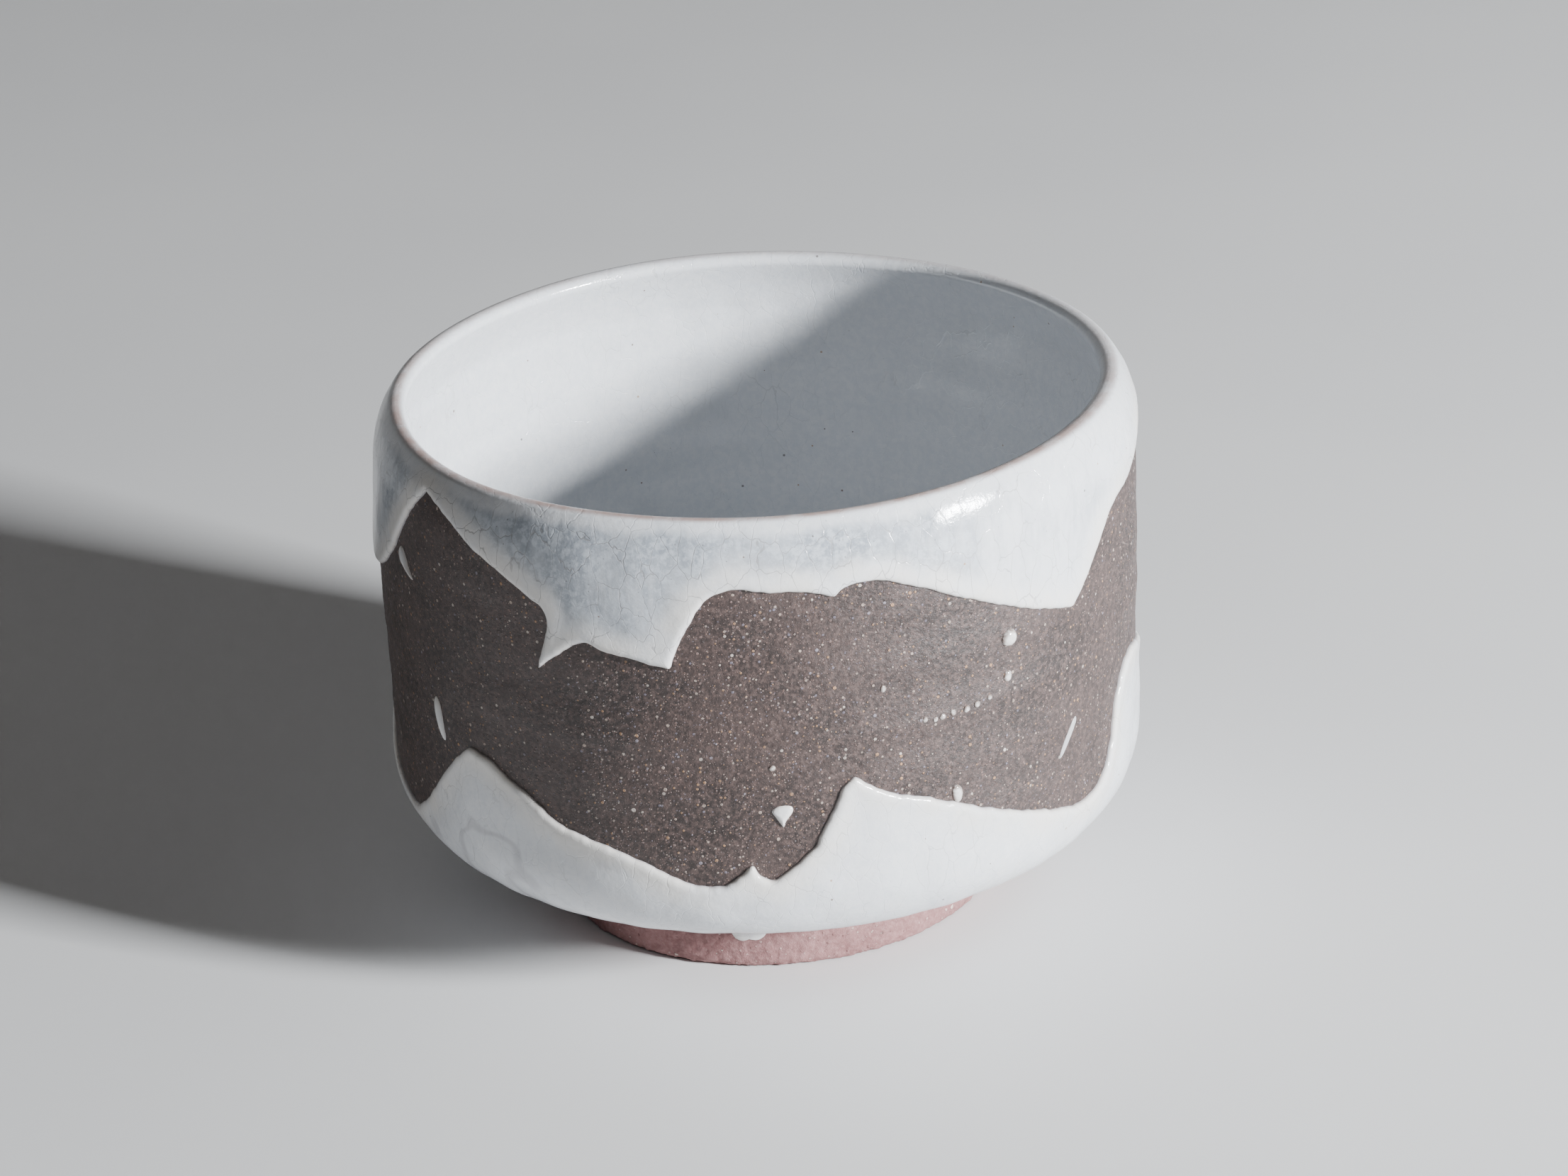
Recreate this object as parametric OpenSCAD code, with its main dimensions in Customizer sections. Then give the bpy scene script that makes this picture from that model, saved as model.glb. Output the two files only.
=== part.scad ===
// Matcha bowl: a straight-sided tea bowl thrown in dark sandy clay. The outside is coated with
// dark iron slip, and white glaze is ladled over it from the lip and from the foot, so that a
// bare dark band stays open between the two pours. The foot ring is left unglazed.
// Millimetres, +Z up. The origin is the centre of the circle that the bowl rests on.
// Compass angles go anticlockwise seen from above, from +X. The front of the bowl is at 270.

/* [Body] */
// Widest outside diameter, over the glaze
bowl_d = 120; // [108:1:132]
// Height from the table to the top of the lip
bowl_h = 85; // [80:1:92]
// Thickness of the wall at the lip, with glaze on both sides
lip_t = 3; // [2.6:0.1:3.6]
// Radius of the curve that turns the lip in
shoulder_r = 20; // [18:1:26]
// Angle that the wall leans in at the lip
lip_turn = 30; // [22:1:32]
// Outside radius of the hip, where the wall turns under
hip_r = 14; // [9:1:16]
// Slope of the underside between the hip and the foot
under_angle = 28; // [24:0.5:32]

/* [Inside] */
// Angle at which the wall thickens downwards
wall_taper = 3; // [1:0.5:4]
// Inside radius where the wall turns into the floor
inside_r = 17; // [12:1:20]
// Slope of the floor towards the middle
floor_slope = 4; // [2:1:6]
// Height of the inside floor at the rim of the tea pool
floor_z = 13; // [12:0.5:15]
// Diameter of the tea pool, the shallow dish in the floor
pool_d = 36; // [28:1:44]
// Depth of the tea pool
pool_depth = 1.6; // [1:0.2:2]

/* [Foot] */
// Outside diameter of the foot ring at the table
foot_d = 70; // [62:1:74]
// Height of the foot ring
foot_h = 7; // [5:0.2:8]
// Width of the foot ring where it meets the table
foot_w = 6.4; // [5:0.2:8]
// Bevel on both lower edges of the foot ring
foot_bevel = 0.8; // [0.4:0.1:1.2]
// Height of the trimming point left in the middle of the underside
point_h = 1.4; // [0.6:0.2:2]

/* [Coats] */
// Thickness of the dark iron slip
slip_t = 0.3; // [0.2:0.05:0.4]
// Thickness of the white glaze on the outside
glaze_t = 0.7; // [0.5:0.05:0.8]
// Thickness of the white glaze on the inside
lining_t = 0.7; // [0.5:0.05:0.8]
// Mean gap on the underside between the foot ring and the lower glaze
glaze_gap = 5.2; // [4.6:0.2:7]
// How far that edge wanders in and out
glaze_wander = 1.2; // [0.4:0.2:1.6]

/* [Hidden] */
$fn = 96;

bowl_r = bowl_d / 2;
lip_r = lip_t / 2;
coat_t = slip_t + glaze_t;
arc_steps = 10;
// Outlines are drawn for this height and scale with bowl_h
drawn_h = 85;
// Widest compass step between two points of a glaze edge
edge_step = 3;
// Ring that a glaze cutter fills, wide enough to hold the whole coat
cutter_r = bowl_r + 8;
cutter_in = bowl_r - 20;
clear = 6;

// Foot
foot_r = foot_d / 2;
foot_in_r = foot_r - foot_w;
foot_flare = 0.8;
foot_top_r = foot_r + foot_flare;
recess_top_r = foot_in_r - 1.2;
point_r = 9;
slip_stop_r = foot_top_r + 2.4;
glaze_stop_r = foot_top_r + glaze_gap;

// Centres of the outside curves. The clay's underside runs straight into the foot's top edge.
clay_hip_r = hip_r - coat_t;
hip_x = bowl_r - hip_r;
clay_tangent_x = hip_x + clay_hip_r * sin(under_angle);
hip_z = foot_h + (clay_tangent_x - foot_top_r) * tan(under_angle) + clay_hip_r * cos(under_angle);
hip_c = [hip_x, hip_z];
shoulder_c = [bowl_r - shoulder_r, bowl_h - lip_r - (shoulder_r - lip_r) * sin(lip_turn)];
lip_c = shoulder_c + (shoulder_r - lip_r) * [cos(lip_turn), sin(lip_turn)];

// Centre of the inside curve, which touches both the wall and the floor
wall_in_r = shoulder_r - lip_t;
wall_foot = shoulder_c + wall_in_r * [cos(wall_taper), -sin(wall_taper)];
pool_r = pool_d / 2;
pool_edge = [pool_r, floor_z];
to_wall = inside_r + wall_foot * [-cos(wall_taper), sin(wall_taper)];
to_floor = inside_r + pool_edge * [-sin(floor_slope), cos(floor_slope)];
inside_c = [
    (to_floor * sin(wall_taper) - to_wall * cos(floor_slope)) / cos(wall_taper + floor_slope),
    (to_floor * cos(wall_taper) - to_wall * sin(floor_slope)) / cos(wall_taper + floor_slope)
];
pool_ball_r = (pow(pool_r, 2) + pow(pool_depth, 2)) / (2 * pool_depth);
pool_c = [0, floor_z - pool_depth + pool_ball_r];
pool_half = asin(pool_r / pool_ball_r);

// Glaze edges: [compass angle, height, 1 at a sharp tip]. Between the points the edge is a smooth
// curve that never overshoots them.
UPPER_EDGE = [
    [8, 76, 0], [22, 70, 0], [36, 63, 0], [45, 58.5, 1], [49, 66, 0], [55, 73, 0], [72, 75.5, 0],
    [92, 73, 0], [112, 67, 0], [127, 60, 1], [131, 65, 0], [138, 73, 0], [152, 77, 0],
    [168, 74, 0], [180, 67, 0], [187, 61, 1], [192, 62, 0], [200.5, 68, 0], [206.5, 75, 0],
    [212.5, 81, 1], [225, 76.3, 0], [237, 69.5, 1], [237.8, 61.2, 1], [243.6, 66, 0],
    [250, 63.8, 0], [256.5, 62.6, 1], [260, 70, 0], [263, 74.4, 0], [267, 75, 0], [275, 74, 0],
    [280, 72.8, 1], [282.5, 74.5, 0], [292, 72.2, 0], [304, 66.2, 0], [315, 61, 0],
    [321, 59.4, 1], [327, 64.5, 0], [333, 70.5, 0], [340, 72.2, 0], [350, 76.5, 0]
];
LOWER_EDGE = [
    [6, 35, 0], [20, 31, 0], [36, 28, 0], [46, 29, 0], [54, 35, 0], [60, 42, 0], [65, 45, 1],
    [80, 39, 0], [98, 33.5, 0], [116, 30, 0], [132, 28.5, 0], [143, 32, 0], [151, 38.5, 0],
    [159, 41.5, 1], [172, 35, 0], [186, 28, 0], [195, 24.8, 0], [200, 25, 0], [206, 28.2, 0],
    [212, 34.5, 0], [217, 40, 0], [221, 42.6, 1], [227, 40.5, 0], [236.5, 35, 0], [243, 33, 0],
    [250, 30.7, 0], [257, 27.6, 0], [261.5, 27.3, 0], [266.2, 30.4, 1], [268.8, 28, 0],
    [273, 31, 0], [276.5, 35.6, 0], [281, 43.6, 1], [287, 39.8, 0], [297, 35.6, 0],
    [310, 29.7, 0], [321, 26, 0], [327, 26.4, 0], [332, 30.5, 0], [335, 38, 0], [341, 42.3, 0],
    [350, 40.5, 0]
];
// Splashes of white glaze: [compass angle, height, width, length, lean]
SPLASHES = [
    [205.5, 68.6, 2.2, 5.5, 18], [214.3, 46, 1.7, 8, 6], [270.9, 38.4, 2.7, 3.4, -12],
    [319.3, 38.7, 1.3, 6.4, -24], [74, 52, 2.2, 4, 10], [104, 49, 1.6, 6, -8]
];
// Round beads of clear glaze: [compass angle, height, radius]
BEADS = [
    [307.4, 59.2, 1.35], [306.9, 53.1, 0.75], [297.3, 36.9, 0.95], [292.5, 50.5, 0.45],
    [294.1, 50.1, 0.4], [295.3, 50.2, 0.5], [297, 50.4, 0.45], [299.3, 50.3, 0.55],
    [301.1, 50.5, 0.5], [303.4, 50.9, 0.45], [286.4, 56.9, 0.5], [269.9, 46.3, 0.5]
];
// How deep a bead's centre lies under the slip's surface, of its radius
bead_sink = 0.5;
// Run of glaze on the foot: middle compass angle, half width in degrees, lowest height
run_at = 261.5;
run_half = 4.6;
run_z = 3.8;
run_t = 0.5;
run_above = 1;
run_steps = 8;

function arc(c, r, from, to, steps = arc_steps) =
    [for (i = [0 : steps]) let (a = from + (to - from) * i / steps) c + r * [cos(a), sin(a)]];

function flip(list) = [for (i = [len(list) - 1 : -1 : 0]) list[i]];

// Point of the straight underside at radius r, at depth d below the finished surface
function under(r, d) =
    [r, hip_z - (hip_r - d) * cos(under_angle)
        - (hip_x + (hip_r - d) * sin(under_angle) - r) * tan(under_angle)];

// Outside surface from the hip up to the crown of the lip, at depth d below the finished surface
function outside(d) = concat(
    arc(hip_c, hip_r - d, under_angle - 90, 0),
    arc(shoulder_c, shoulder_r - d, 0, lip_turn),
    arc(lip_c, lip_r - d, lip_turn, 90)
);

// Inside surface from the crown of the lip down to the middle of the floor, at depth d
function inside(d) = concat(
    arc(lip_c, lip_r - d, 90, 180 + lip_turn),
    arc(shoulder_c, wall_in_r + d, lip_turn, -wall_taper),
    arc(inside_c, inside_r + d, -wall_taper, floor_slope - 90),
    arc(pool_c, pool_ball_r + d, pool_half - 90, -90)
);

// Heights along a closed glaze edge
function knot(e, i) =
    let (n = len(e), k = (i + n) % n) e[k] + [i < 0 ? -360 : i >= n ? 360 : 0, 0, 0];
function rise(e, i) = (knot(e, i + 1)[1] - knot(e, i)[1]) / (knot(e, i + 1)[0] - knot(e, i)[0]);
function lean(e, i, side) =
    let (a = rise(e, i - 1), b = rise(e, i))
    knot(e, i)[2] == 1 ? rise(e, i + side) : a * b <= 0 ? 0 : 2 * a * b / (a + b);
function ease(e, i, u) =
    let (p = knot(e, i), q = knot(e, i + 1), w = q[0] - p[0], v = 1 - u)
    [p[0] + w * u,
     (1 + 2 * u) * v * v * p[1] + u * v * v * w * lean(e, i, 0)
        + u * u * (3 - 2 * u) * q[1] - u * u * v * w * lean(e, i + 1, -1)];
function edge(e) = [
    for (i = [0 : len(e) - 1])
        let (n = max(1, ceil((knot(e, i + 1)[0] - knot(e, i)[0]) / edge_step)))
            for (k = [0 : n - 1]) ease(e, i, k / n)
];

function around(a, r, z) = [r * cos(a), r * sin(a), z];
function stop_r(a) = glaze_stop_r + glaze_wander * (sin(3 * a + 40) + 0.5 * sin(7 * a)) / 1.5;

// A ring between two closed curves of [angle, inner radius, low, high], out to cutter_r
module ring(curve) {
    n = len(curve);
    points = [for (c = curve) each [
        around(c[0], c[1], c[2]), around(c[0], cutter_r, c[2]),
        around(c[0], cutter_r, c[3]), around(c[0], c[1], c[3])
    ]];
    faces = [for (i = [0 : n - 1]) for (s = [0 : 3])
        let (a = 4 * i, b = 4 * ((i + 1) % n), t = (s + 1) % 4)
            each [[a + s, b + s, a + t], [a + t, b + s, b + t]]];
    polyhedron(points, faces);
}

module above(e) {
    ring([for (p = edge(e)) [p[0], cutter_in, p[1] * bowl_h / drawn_h, bowl_h + clear]]);
}

module below(e) {
    ring([for (p = edge(e)) [p[0], stop_r(p[0]), -clear, p[1] * bowl_h / drawn_h]]);
}

// Rounded tongue that hangs down from the underside, with +X down. It starts above the foot's top.
function run_outline() =
    let (half = foot_r * sin(run_half), drop = foot_h - run_z)
    concat(
        [[-run_above, half], [-run_above, -half]],
        [for (i = [-run_steps : run_steps]) [drop * cos(i * 90 / run_steps), half * i / run_steps]]
    );

// The coat of white glaze all over the outside, before its edges are drawn
module outer_coat() {
    rotate_extrude()
        polygon(concat(
            [under(slip_stop_r, 0)],
            outside(0),
            flip(outside(glaze_t)),
            [under(slip_stop_r, glaze_t)]
        ));
}

// Drop with a round foot and a pointed top, drawn flat
module drop_outline(w, l) {
    circle(d = w);
    polygon([[0, w / 2], [-(l - w / 2), 0], [0, -w / 2]]);
}

module clay_wall() {
    color([0.34, 0.27, 0.25])
        rotate_extrude()
            polygon(concat(
                [[0, foot_h - point_h], [point_r, foot_h], [foot_top_r, foot_h]],
                outside(coat_t),
                inside(lining_t)
            ));
}

module foot_ring() {
    color([0.62, 0.47, 0.45])
        rotate_extrude()
            polygon([
                [foot_in_r + foot_bevel, 0], [foot_r - foot_bevel, 0], [foot_r, foot_bevel],
                [foot_top_r, foot_h], [recess_top_r, foot_h], [foot_in_r, foot_bevel]
            ]);
}

module slip_coat() {
    color([0.27, 0.22, 0.21])
        rotate_extrude()
            polygon(concat(
                [under(slip_stop_r, glaze_t)],
                outside(glaze_t),
                flip(outside(coat_t)),
                [under(slip_stop_r, coat_t)]
            ));
}

module inside_glaze() {
    color([0.86, 0.89, 0.92])
        rotate_extrude()
            polygon(concat(inside(0), flip(inside(lining_t))));
}

module upper_glaze() {
    color([0.90, 0.92, 0.94])
        intersection() {
            outer_coat();
            above(UPPER_EDGE);
        }
}

module lower_glaze() {
    color([0.93, 0.93, 0.93])
        intersection() {
            outer_coat();
            below(LOWER_EDGE);
        }
}

module glaze_splashes() {
    color([0.95, 0.95, 0.95])
        intersection() {
            outer_coat();
            union() {
                for (s = SPLASHES)
                    rotate([0, 0, s[0]])
                        translate([cutter_in, 0, s[1] * bowl_h / drawn_h])
                            rotate([s[4], 0, 0])
                                rotate([0, 90, 0])
                                    linear_extrude(cutter_r - cutter_in)
                                        drop_outline(s[2], s[3]);
            }
        }
}

module glaze_beads() {
    color([0.88, 0.90, 0.93])
        for (b = BEADS)
            rotate([0, 0, b[0]])
                translate([bowl_r - glaze_t, 0, b[1] * bowl_h / drawn_h])
                    rotate([0, 90, 0])
                        bead(b[2]);
}

// Flat-backed dome that stands up along +Z
module bead(r) {
    intersection() {
        translate([0, 0, -r * bead_sink])
            sphere(r);
        cylinder(h = r, r = 2 * r);
    }
}

module foot_run() {
    color([0.92, 0.90, 0.88])
        intersection() {
            rotate_extrude()
                polygon([
                    [foot_r, foot_bevel], [foot_r + run_t, foot_bevel + run_t],
                    [foot_top_r + run_t, foot_h], [foot_top_r, foot_h]
                ]);
            rotate([0, 0, run_at])
                translate([foot_r - clear / 2, 0, foot_h])
                    rotate([0, 90, 0])
                        linear_extrude(clear)
                            polygon(run_outline());
        }
}

clay_wall();
foot_ring();
slip_coat();
inside_glaze();
upper_glaze();
lower_glaze();
glaze_splashes();
glaze_beads();
foot_run();
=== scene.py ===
"""Matcha bowl: the visible bowl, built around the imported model.

Every surface is worked out in millimetres on the bowl's own profile, as a compass angle, a distance along
the profile and a depth above the slip, and is then warped by the same hand-thrown unevenness, so that all
coats stay face to face. Compass angles run anticlockwise from +X seen from above, and 270 is the front.
"""

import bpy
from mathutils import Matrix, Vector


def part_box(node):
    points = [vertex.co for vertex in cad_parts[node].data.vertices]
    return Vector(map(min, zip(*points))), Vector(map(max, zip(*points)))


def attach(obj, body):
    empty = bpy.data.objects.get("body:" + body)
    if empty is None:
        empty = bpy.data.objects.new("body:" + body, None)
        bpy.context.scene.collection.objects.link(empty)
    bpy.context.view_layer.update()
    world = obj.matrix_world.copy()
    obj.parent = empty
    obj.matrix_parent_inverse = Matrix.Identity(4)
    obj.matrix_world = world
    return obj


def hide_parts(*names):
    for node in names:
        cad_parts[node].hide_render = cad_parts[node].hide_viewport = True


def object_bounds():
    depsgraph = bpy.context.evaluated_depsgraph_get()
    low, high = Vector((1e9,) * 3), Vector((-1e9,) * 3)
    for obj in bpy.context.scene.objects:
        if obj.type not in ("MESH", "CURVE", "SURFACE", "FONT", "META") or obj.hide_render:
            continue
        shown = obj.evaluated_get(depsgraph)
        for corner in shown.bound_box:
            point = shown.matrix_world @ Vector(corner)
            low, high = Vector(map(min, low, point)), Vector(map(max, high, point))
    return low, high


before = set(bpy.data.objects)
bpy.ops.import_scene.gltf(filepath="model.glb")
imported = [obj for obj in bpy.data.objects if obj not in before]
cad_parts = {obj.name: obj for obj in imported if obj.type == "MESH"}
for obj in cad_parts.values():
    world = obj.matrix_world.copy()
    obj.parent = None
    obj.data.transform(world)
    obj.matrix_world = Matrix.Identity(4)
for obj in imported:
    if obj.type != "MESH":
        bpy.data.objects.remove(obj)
cad_box = [list(corner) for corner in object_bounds()]

import math

import bpy
import numpy as np
from mathutils import Matrix, Vector
from mathutils.geometry import delaunay_2d_cdt

MM = 0.001

# ---------------------------------------------------------------- sizes in millimetres, from the frame first
BOWL_R = cad_box[1][0] / MM
BOWL_H = cad_box[1][2] / MM
GLAZE = BOWL_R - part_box("slip_coat")[1].x / MM
SLIP = BOWL_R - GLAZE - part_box("clay_wall")[1].x / MM
FOOT_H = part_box("foot_ring")[1].z / MM
FOOT_TOP_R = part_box("foot_ring")[1].x / MM
# sizes that no box in the frame shows; the bowl's source names the same ones
LINING = 0.7
FOOT_R = FOOT_TOP_R - 0.8
FOOT_IN_R = FOOT_R - 6.4
RECESS_R = FOOT_IN_R - 1.2
FOOT_BEVEL = 0.8
POINT_R = 9.0
POINT_H = 1.4
LIP_R = 1.5
SHOULDER_R = 20.0
LIP_TURN = 30.0
HIP_R = 14.0
UNDER = 28.0
WALL_TAPER = 3.0
INSIDE_R = 17.0
FLOOR_SLOPE = 4.0
FLOOR_Z = 13.0
POOL_R = 18.0
POOL_DEPTH = 1.6
SLIP_STOP_R = FOOT_TOP_R + 2.4
GLAZE_STOP_R = FOOT_TOP_R + 5.2
GLAZE_WANDER = 1.2
DRAWN_H = 85.0        # the height of bowl that the glaze edges below are drawn for

# ---------------------------------------------------------------- resolution
COLS = 400            # columns of the round grids
EDGE_STEP = 0.34      # spacing of points along a glaze edge
FIELD_STEP = 1.05     # spacing of points away from an edge
# distances from a glaze edge of the rows of points beside it
RINGS = [0.05, 0.13, 0.24, 0.38, 0.56, 0.8, 1.12, 1.55, 2.1]
BATCH = 1500          # points compared with an edge at a time

# ---------------------------------------------------------------- what is drawn
# Glaze edges: [compass angle, height, 1 at a sharp tip]
UPPER_EDGE = [
    [92, 73, 0], [112, 67, 0], [127, 60, 1], [131, 65, 0], [138, 73, 0], [152, 77, 0], [168, 74, 0],
    [180, 67, 0], [187, 61, 1], [192, 62, 0], [200.5, 68, 0], [206.5, 75, 0], [212.3, 81.2, 1],
    [218.4, 79.4, 0], [225.4, 76.1, 0], [231, 73.6, 0], [235.5, 71, 0], [237.9, 69.4, 0],
    [238.1, 67.8, 0], [237.4, 65, 0], [235.8, 59.7, 1], [238.6, 62, 0], [241.4, 64.1, 0],
    [243.9, 65.3, 0], [247, 64.3, 0], [250.4, 63.7, 0], [254, 62.9, 0], [256.6, 62.4, 1],
    [257.9, 66.2, 0], [260, 70, 0], [262.6, 73.8, 0], [266, 75, 0], [271, 74.4, 0], [277, 73.9, 0],
    [280.4, 72.7, 1], [281.3, 73.8, 0], [284.5, 74.5, 0], [292, 72.2, 0], [298, 69.1, 0],
    [304, 66.1, 0], [310.5, 63, 0], [316, 60.8, 0], [321, 59.2, 1], [324.5, 62.2, 0],
    [327.3, 65.2, 0], [332, 70, 0], [335, 71.3, 0], [340, 72.2, 0], [345, 74.4, 0], [350, 76.5, 0],
    [359, 77.6, 0], [368, 76, 0], [382, 70, 0], [396, 63, 0], [405, 58.5, 1], [409, 66, 0],
    [415, 73, 0], [432, 75.5, 0],
]
LOWER_EDGE = [
    [98, 33.5, 0], [116, 30, 0], [132, 28.5, 0], [143, 32, 0], [151, 38.5, 0], [159, 41.5, 1],
    [172, 35, 0], [186, 28, 0], [195, 24.8, 0], [200, 24.6, 0], [206, 28.2, 0], [212, 34.5, 0],
    [217, 40, 0], [220.4, 42.7, 1], [224, 42.1, 0], [227, 40.5, 0], [232, 38, 0], [237, 34.8, 0],
    [243, 33, 0], [250, 30.7, 0], [254, 28.8, 0], [258, 27.3, 0], [261.8, 27.3, 0], [264, 28.8, 0],
    [266.3, 30.7, 1], [267.4, 28.8, 0], [268.9, 28, 0], [270.6, 29, 0], [273, 31, 0],
    [275.3, 33.3, 0], [277, 36.6, 0], [278.6, 39.8, 0], [280.2, 42.8, 0], [281.4, 43.7, 1],
    [284, 41.6, 0], [287, 39.8, 0], [291, 38.3, 0], [296.5, 35.8, 0], [304, 32.2, 0],
    [310, 29.7, 0], [316, 27.5, 0], [321.5, 25.9, 0], [326, 26, 0], [329.3, 27.5, 0],
    [332, 30.6, 0], [333.7, 34.6, 0], [335.3, 38.5, 0], [338, 41.5, 0], [342, 42.5, 0],
    [350, 40.5, 0], [366, 35, 0], [380, 31, 0], [396, 28, 0], [406, 29, 0], [414, 35, 0],
    [420, 42, 0], [425, 45, 1], [440, 39, 0],
]
# Splashes of white glaze: compass angle, height, and their outline as [sideways, up] in millimetres
SPLASHES = {
    "front_drop": (270.9, 38.5, [[-1.5, 0.9], [-0.4, 1.6], [1.3, 1.5], [1.6, 0.6], [0.5, -1.0], [0.1, -1.9],
                                 [-0.5, -1.0], [-1.1, 0.0]]),
    "left_high": (205.2, 67.6, [[-2.6, 1.2], [-1.5, 2.1], [-0.3, 1.3], [1.0, -0.3], [2.5, -2.0], [1.2, -1.7],
                                [-0.6, -0.9], [-2.2, -0.2]]),
    "left_low": (212.8, 45.0, [[-1.4, 2.2], [-0.8, 3.0], [0.0, 2.2], [0.7, 0.0], [1.2, -2.7], [0.9, -3.8],
                               [0.2, -2.8], [-0.9, 0.0]]),
    "right_streak": (319.6, 37.8, [[1.0, 2.1], [2.0, 2.8], [2.2, 2.0], [0.9, 0.1], [-0.9, -2.0], [-2.0, -2.7],
                                   [-1.9, -1.8], [-0.6, 0.2]]),
    "back_drop": (74.0, 52.0, [[-1.1, 0.7], [0.0, 1.5], [1.1, 0.8], [0.8, -0.6], [0.1, -2.3], [-0.7, -0.8]]),
    "back_streak": (104.0, 49.0, [[-0.8, 1.8], [0.0, 2.6], [0.8, 1.6], [0.6, -1.4], [0.0, -3.2],
                                  [-0.6, -1.2]]),
}
FILMS = {"right_streak"}      # splashes so thin that the slip shows through
# Beads of clear glaze: compass angle, height, radius, length over width
BEADS = [
    (307.4, 59.2, 1.35, 1.05), (306.9, 53.1, 0.75, 1.2), (297.3, 36.9, 0.95, 1.5), (292.5, 50.5, 0.45, 1.0),
    (294.1, 50.1, 0.40, 1.1), (295.3, 50.2, 0.50, 1.0), (297.0, 50.4, 0.45, 1.2), (299.3, 50.3, 0.55, 1.0),
    (301.1, 50.5, 0.50, 1.1), (303.4, 50.9, 0.45, 1.0), (286.4, 56.9, 0.50, 1.1), (269.9, 46.3, 0.50, 1.0),
]
# Run of glaze on the foot: compass angle, and its outline
RUN_AT = 261.5
RUN = [[-2.7, 1.3], [-1.4, 1.9], [0.2, 1.7], [1.6, 1.9], [2.7, 1.3], [2.5, 0.4], [1.4, -0.3],
       [0.2, -0.1], [-1.2, -0.5], [-2.4, 0.1]]
# Rise of the rim against its mean, and swelling of the lip towards the inside: [compass angle, millimetres]
RIM_RISE = [[0, 0.0], [60, -0.5], [105, 0.2], [150, 0.1], [195, 0.05], [240, 0.15], [280, -0.35],
            [318, -0.1]]
LIP_SWELL = [[0, 0.7], [60, 0.5], [120, 0.9], [180, 0.4], [250, 0.1], [300, 0.25], [332, 0.9]]


# ---------------------------------------------------------------- small helpers
def smooth(a, b, x):
    """0 below a, 1 above b, and an even S between them."""
    t = np.clip((np.asarray(x, float) - a) / (b - a), 0, 1)
    return t * t * (3 - 2 * t)


def round_curve(points, degrees):
    """Smooth closed curve through [compass angle, value] points."""
    a, y = np.array(points, float).T
    a, y = np.append(a, a[0] + 360), np.append(y, y[0])
    d = np.mod(np.asarray(degrees, float), 360)
    i = np.clip(np.searchsorted(a, d, side="right") - 1, 0, len(a) - 2)
    t = smooth(a[i], a[i + 1], d)
    return y[i] * (1 - t) + y[i + 1] * t


def ripples(seed, count, shortest, longest):
    """Even, seamless unevenness of about unit height, with wavelengths in millimetres."""
    r = np.random.default_rng(seed)
    length = np.exp(r.uniform(np.log(shortest), np.log(longest), count))
    heading = r.uniform(0, math.tau, count)
    around = np.round((BOWL_R - 1) * math.tau / length * np.cos(heading))
    along = math.tau / length * np.sin(heading)
    phase = r.uniform(0, math.tau, count)

    def height(degrees, v):
        t = np.radians(np.asarray(degrees, float))[..., None]
        v = np.asarray(v, float)[..., None]
        return np.cos(around * t + along * v + phase).sum(-1) / math.sqrt(count / 2)

    return height


def grain_field(seed, rows, cols, cell_v, cell_u, size):
    """Sandy relief on a round grid, seamless around it, of about unit height and the given grain size."""
    r = np.random.default_rng(seed)
    field = np.fft.fft2(r.standard_normal((rows, cols)))
    fv = np.fft.fftfreq(rows, cell_v)[:, None]
    fu = np.fft.fftfreq(cols, cell_u)[None, :]
    field = np.fft.ifft2(field * np.exp(-((fv ** 2 + fu ** 2) * (size * 1.6) ** 2))).real
    return field / field.std()


# ---------------------------------------------------------------- profile of the bowl
def polar(centre, radius, degrees):
    """Points [radius, height] at an angle round a centre."""
    a = np.radians(degrees)
    return np.stack([centre[0] + radius * np.cos(a), centre[1] + radius * np.sin(a)], -1)


class Profile:
    """Points p [radius, height], the directions n that leave the solid there, and the distance v along."""

    def __init__(self, parts):
        self.p = np.concatenate([p for p, n in parts])
        self.n = np.concatenate([n for p, n in parts])
        keep = np.concatenate([[True], np.linalg.norm(np.diff(self.p, axis=0), axis=1) > 1e-6])
        self.p, self.n = self.p[keep], self.n[keep]
        self.v = np.concatenate([[0], np.cumsum(np.linalg.norm(np.diff(self.p, axis=0), axis=1))])

    def at(self, v):
        """Point and direction at a distance."""
        p = np.stack([np.interp(v, self.v, self.p[:, k]) for k in (0, 1)], -1)
        n = np.stack([np.interp(v, self.v, self.n[:, k]) for k in (0, 1)], -1)
        return p, n / np.linalg.norm(n, axis=-1, keepdims=True)


def arc_part(centre, radius, start, stop, count, facing=1):
    a = np.linspace(start, stop, count)
    return polar(centre, radius, a), polar((0, 0), facing, a)


def line_part(a, b, normal, count):
    t = np.linspace(0, 1, count)[:, None]
    return np.array(a) * (1 - t) + np.array(b) * t, np.repeat([normal], count, 0)


coat = GLAZE + SLIP
clay_hip_r = HIP_R - coat
tan_u, sin_u, cos_u = (f(math.radians(UNDER)) for f in (math.tan, math.sin, math.cos))
# centres of the outside curves; the clay's underside runs straight into the foot's top edge
hip_x = BOWL_R - HIP_R
hip_c = (hip_x, FOOT_H + (hip_x + clay_hip_r * sin_u - FOOT_TOP_R) * tan_u + clay_hip_r * cos_u)
lean = math.sin(math.radians(LIP_TURN))
shoulder_c = (BOWL_R - SHOULDER_R, BOWL_H - LIP_R - (SHOULDER_R - LIP_R) * lean)
lip_c = tuple(polar(shoulder_c, SHOULDER_R - LIP_R, LIP_TURN))


def under_point(r, depth):
    """Point of the straight underside at radius r."""
    x, z = hip_c[0] + (HIP_R - depth) * sin_u, hip_c[1] - (HIP_R - depth) * cos_u
    return (r, z - (x - r) * tan_u)


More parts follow.
